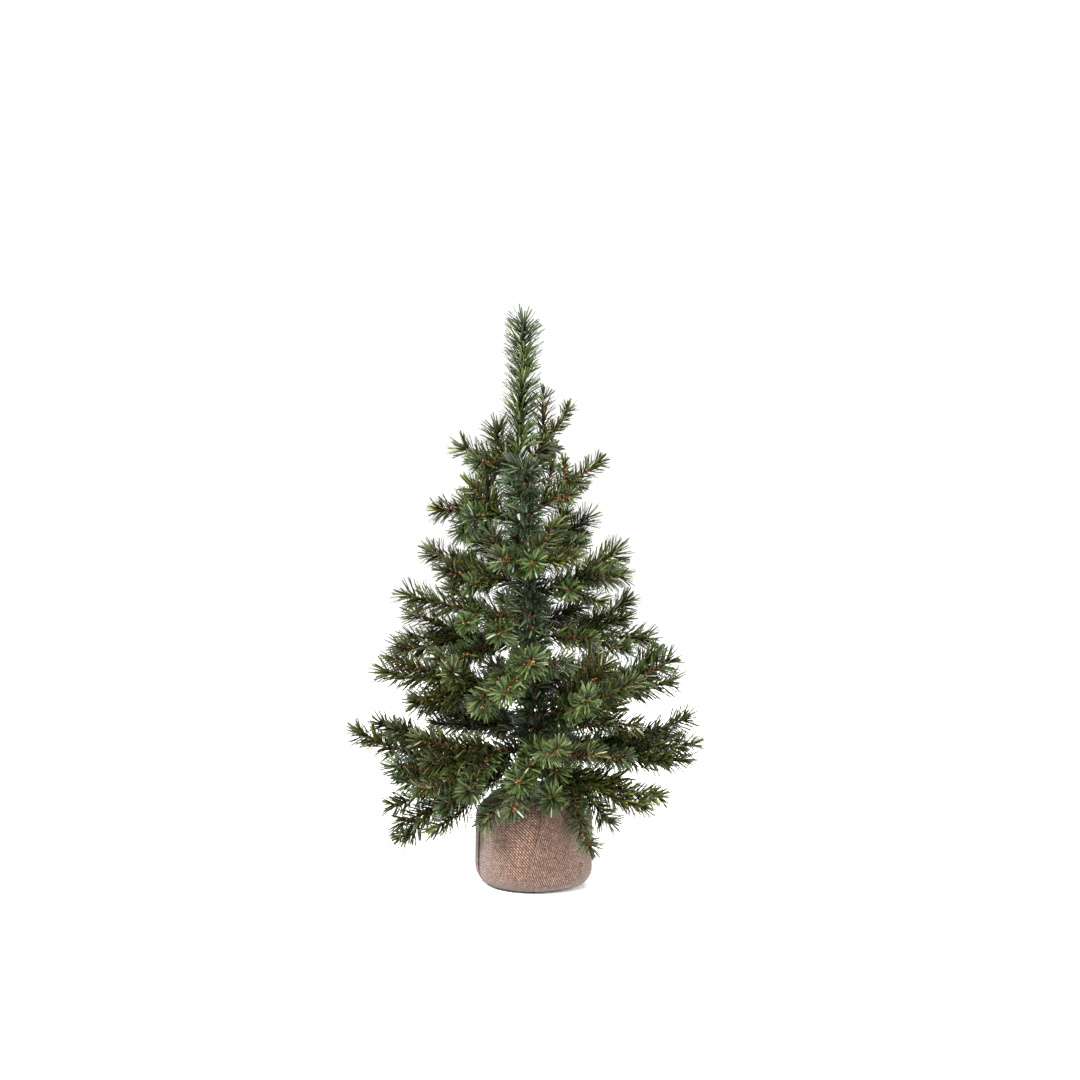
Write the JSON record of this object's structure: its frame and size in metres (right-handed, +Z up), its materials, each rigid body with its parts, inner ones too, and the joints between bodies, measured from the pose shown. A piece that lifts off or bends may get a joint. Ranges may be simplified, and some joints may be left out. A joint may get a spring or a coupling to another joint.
{
  "type": "artificial tabletop tree",
  "caption": "Small artificial fir tree with bendable wire branches on a weighted base wrapped in gathered burlap.",
  "frame": {"origin": "middle of the base's flat underside, on the sack's axis", "axes": "+Z up along the height, -Y towards the front, +X to the right seen from the front"},
  "size_m": [0.3604, 0.2906, 0.6],
  "materials": {
    "burlap": "coarse undyed jute weave",
    "pot_plastic": "moulded black plastic",
    "cement": "rough cast cement",
    "trunk_steel": "green painted steel",
    "garland_needles": "blue-green plastic film",
    "jute_string": "twisted jute",
    "twisted_wire": "dark galvanised wire with brown film strip",
    "needles": "cut plastic film, semi-gloss"
  },
  "bodies": {
    "tree_base": {"burlap_wrap": "burlap", "base_pot": "pot_plastic", "cement_weight": "cement", "trunk_rod": "trunk_steel", "trunk_garland": "garland_needles", "neck_tie": "jute_string", "leader_wire": "twisted_wire", "leader_needles": "needles"},
    "branch_01": {"branch_01_wire": "twisted_wire", "branch_01_needles": "needles"},
    "branch_02": {"branch_02_wire": "twisted_wire", "branch_02_needles": "needles"},
    "branch_03": {"branch_03_wire": "twisted_wire", "branch_03_needles": "needles"},
    "branch_04": {"branch_04_wire": "twisted_wire", "branch_04_needles": "needles"},
    "branch_05": {"branch_05_wire": "twisted_wire", "branch_05_needles": "needles"},
    "branch_06": {"branch_06_wire": "twisted_wire", "branch_06_needles": "needles"},
    "branch_07": {"branch_07_wire": "twisted_wire", "branch_07_needles": "needles"},
    "branch_08": {"branch_08_wire": "twisted_wire", "branch_08_needles": "needles"},
    "branch_09": {"branch_09_wire": "twisted_wire", "branch_09_needles": "needles"},
    "branch_10": {"branch_10_wire": "twisted_wire", "branch_10_needles": "needles"},
    "branch_11": {"branch_11_wire": "twisted_wire", "branch_11_needles": "needles"},
    "branch_12": {"branch_12_wire": "twisted_wire", "branch_12_needles": "needles"},
    "branch_13": {"branch_13_wire": "twisted_wire", "branch_13_needles": "needles"},
    "branch_14": {"branch_14_wire": "twisted_wire", "branch_14_needles": "needles"},
    "branch_15": {"branch_15_wire": "twisted_wire", "branch_15_needles": "needles"},
    "branch_16": {"branch_16_wire": "twisted_wire", "branch_16_needles": "needles"},
    "branch_17": {"branch_17_wire": "twisted_wire", "branch_17_needles": "needles"},
    "branch_18": {"branch_18_wire": "twisted_wire", "branch_18_needles": "needles"},
    "branch_19": {"branch_19_wire": "twisted_wire", "branch_19_needles": "needles"},
    "branch_20": {"branch_20_wire": "twisted_wire", "branch_20_needles": "needles"},
    "branch_21": {"branch_21_wire": "twisted_wire", "branch_21_needles": "needles"},
    "branch_22": {"branch_22_wire": "twisted_wire", "branch_22_needles": "needles"},
    "branch_23": {"branch_23_wire": "twisted_wire", "branch_23_needles": "needles"},
    "branch_24": {"branch_24_wire": "twisted_wire", "branch_24_needles": "needles"},
    "branch_25": {"branch_25_wire": "twisted_wire", "branch_25_needles": "needles"},
    "branch_26": {"branch_26_wire": "twisted_wire", "branch_26_needles": "needles"}
  },
  "joints": [
    {"name": "branch_01_bend", "type": "hinge", "parent": "tree_base", "child": "branch_01", "pos_m": [-0.00705, 0.0043, 0.444], "axis": [0.5, -0.866, 0], "range_deg": [-38, 15]},
    {"name": "branch_02_bend", "type": "hinge", "parent": "tree_base", "child": "branch_02", "pos_m": [-0.02157, 0.00404, 0.432], "axis": [0.4695, 0.8829, 0], "range_deg": [-27, 13]},
    {"name": "branch_03_bend", "type": "hinge", "parent": "tree_base", "child": "branch_03", "pos_m": [-0.01376, 0.00857, 0.41], "axis": [0.9962, 0.0872, 0], "range_deg": [-38, 11]},
    {"name": "branch_04_bend", "type": "hinge", "parent": "tree_base", "child": "branch_04", "pos_m": [-0.00352, 0.0012, 0.388], "axis": [0.1392, -0.9903, 0], "range_deg": [-23, 17]},
    {"name": "branch_05_bend", "type": "hinge", "parent": "tree_base", "child": "branch_05", "pos_m": [-0.02001, 0.00179, 0.378], "axis": [0.2079, 0.9781, 0], "range_deg": [-17, 32]},
    {"name": "branch_06_bend", "type": "hinge", "parent": "tree_base", "child": "branch_06", "pos_m": [-0.0036, 0.0053, 0.35], "axis": [0.6157, -0.788, 0], "range_deg": [-37, 15]},
    {"name": "branch_07_bend", "type": "hinge", "parent": "tree_base", "child": "branch_07", "pos_m": [-0.00835, -0.00847, 0.338], "axis": [-0.9848, -0.1736, 0], "range_deg": [-25, 34]},
    {"name": "branch_08_bend", "type": "hinge", "parent": "tree_base", "child": "branch_08", "pos_m": [-0.01243, 0.00808, 0.33], "axis": [0.9397, 0.342, 0], "range_deg": [-38, 22]},
    {"name": "branch_09_bend", "type": "hinge", "parent": "tree_base", "child": "branch_09", "pos_m": [-0.01722, 0.0012, 0.312], "axis": [0.1392, 0.9903, 0], "range_deg": [-11, 15]},
    {"name": "branch_10_bend", "type": "hinge", "parent": "tree_base", "child": "branch_10", "pos_m": [0.00018, -0.0006, 0.305], "axis": [-0.0698, -0.9976, 0], "range_deg": [-17, 17]},
    {"name": "branch_11_bend", "type": "hinge", "parent": "tree_base", "child": "branch_11", "pos_m": [-0.01515, -0.0035, 0.28], "axis": [-0.4067, 0.9135, 0], "range_deg": [-25, 11]},
    {"name": "branch_12_bend", "type": "hinge", "parent": "tree_base", "child": "branch_12", "pos_m": [-0.00561, 0.00855, 0.262], "axis": [0.9945, -0.1045, 0], "range_deg": [-21, 28]},
    {"name": "branch_13_bend", "type": "hinge", "parent": "tree_base", "child": "branch_13", "pos_m": [0.00153, 0.0035, 0.258], "axis": [0.4067, -0.9135, 0], "range_deg": [-8, 11]},
    {"name": "branch_14_bend", "type": "hinge", "parent": "tree_base", "child": "branch_14", "pos_m": [-0.01415, 0.00294, 0.252], "axis": [0.342, 0.9397, 0], "range_deg": [-15, 19]},
    {"name": "branch_15_bend", "type": "hinge", "parent": "tree_base", "child": "branch_15", "pos_m": [-0.00656, -0.00852, 0.236], "axis": [-0.9903, 0.1392, 0], "range_deg": [-34, 30]},
    {"name": "branch_16_bend", "type": "hinge", "parent": "tree_base", "child": "branch_16", "pos_m": [-0.01246, -0.00179, 0.206], "axis": [-0.2079, 0.9781, 0], "range_deg": [-15, 7]},
    {"name": "branch_17_bend", "type": "hinge", "parent": "tree_base", "child": "branch_17", "pos_m": [-0.00627, 0.00818, 0.196], "axis": [0.9511, 0.309, 0], "range_deg": [-12, 24]},
    {"name": "branch_18_bend", "type": "hinge", "parent": "tree_base", "child": "branch_18", "pos_m": [0.00543, -0.0003, 0.186], "axis": [-0.0349, -0.9994, 0], "range_deg": [-10, 7]},
    {"name": "branch_19_bend", "type": "hinge", "parent": "tree_base", "child": "branch_19", "pos_m": [0.0028, -0.00659, 0.176], "axis": [-0.766, -0.6428, 0], "range_deg": [-15, 10]},
    {"name": "branch_20_bend", "type": "hinge", "parent": "tree_base", "child": "branch_20", "pos_m": [-0.00778, 0.00639, 0.16], "axis": [0.7431, 0.6691, 0], "range_deg": [-38, 11]},
    {"name": "branch_21_bend", "type": "hinge", "parent": "tree_base", "child": "branch_21", "pos_m": [-0.00081, -0.00858, 0.146], "axis": [-0.9976, -0.0698, 0], "range_deg": [-9, 27]},
    {"name": "branch_22_bend", "type": "hinge", "parent": "tree_base", "child": "branch_22", "pos_m": [-0.00754, -0.00575, 0.14], "axis": [-0.6691, 0.7431, 0], "range_deg": [-12, 27]},
    {"name": "branch_23_bend", "type": "hinge", "parent": "tree_base", "child": "branch_23", "pos_m": [0.00767, 0.0009, 0.134], "axis": [0.1045, -0.9945, 0], "range_deg": [-9, 11]},
    {"name": "branch_24_bend", "type": "hinge", "parent": "tree_base", "child": "branch_24", "pos_m": [0.00146, 0.00834, 0.128], "axis": [0.9703, -0.2419, 0], "range_deg": [-38, 20]},
    {"name": "branch_25_bend", "type": "hinge", "parent": "tree_base", "child": "branch_25", "pos_m": [0.00686, -0.00481, 0.12], "axis": [-0.5592, -0.829, 0], "range_deg": [-5, 11]},
    {"name": "branch_26_bend", "type": "hinge", "parent": "tree_base", "child": "branch_26", "pos_m": [-0.00865, -0.00149, 0.118], "axis": [-0.1736, 0.9848, 0], "range_deg": [-17, 10]}
  ]
}
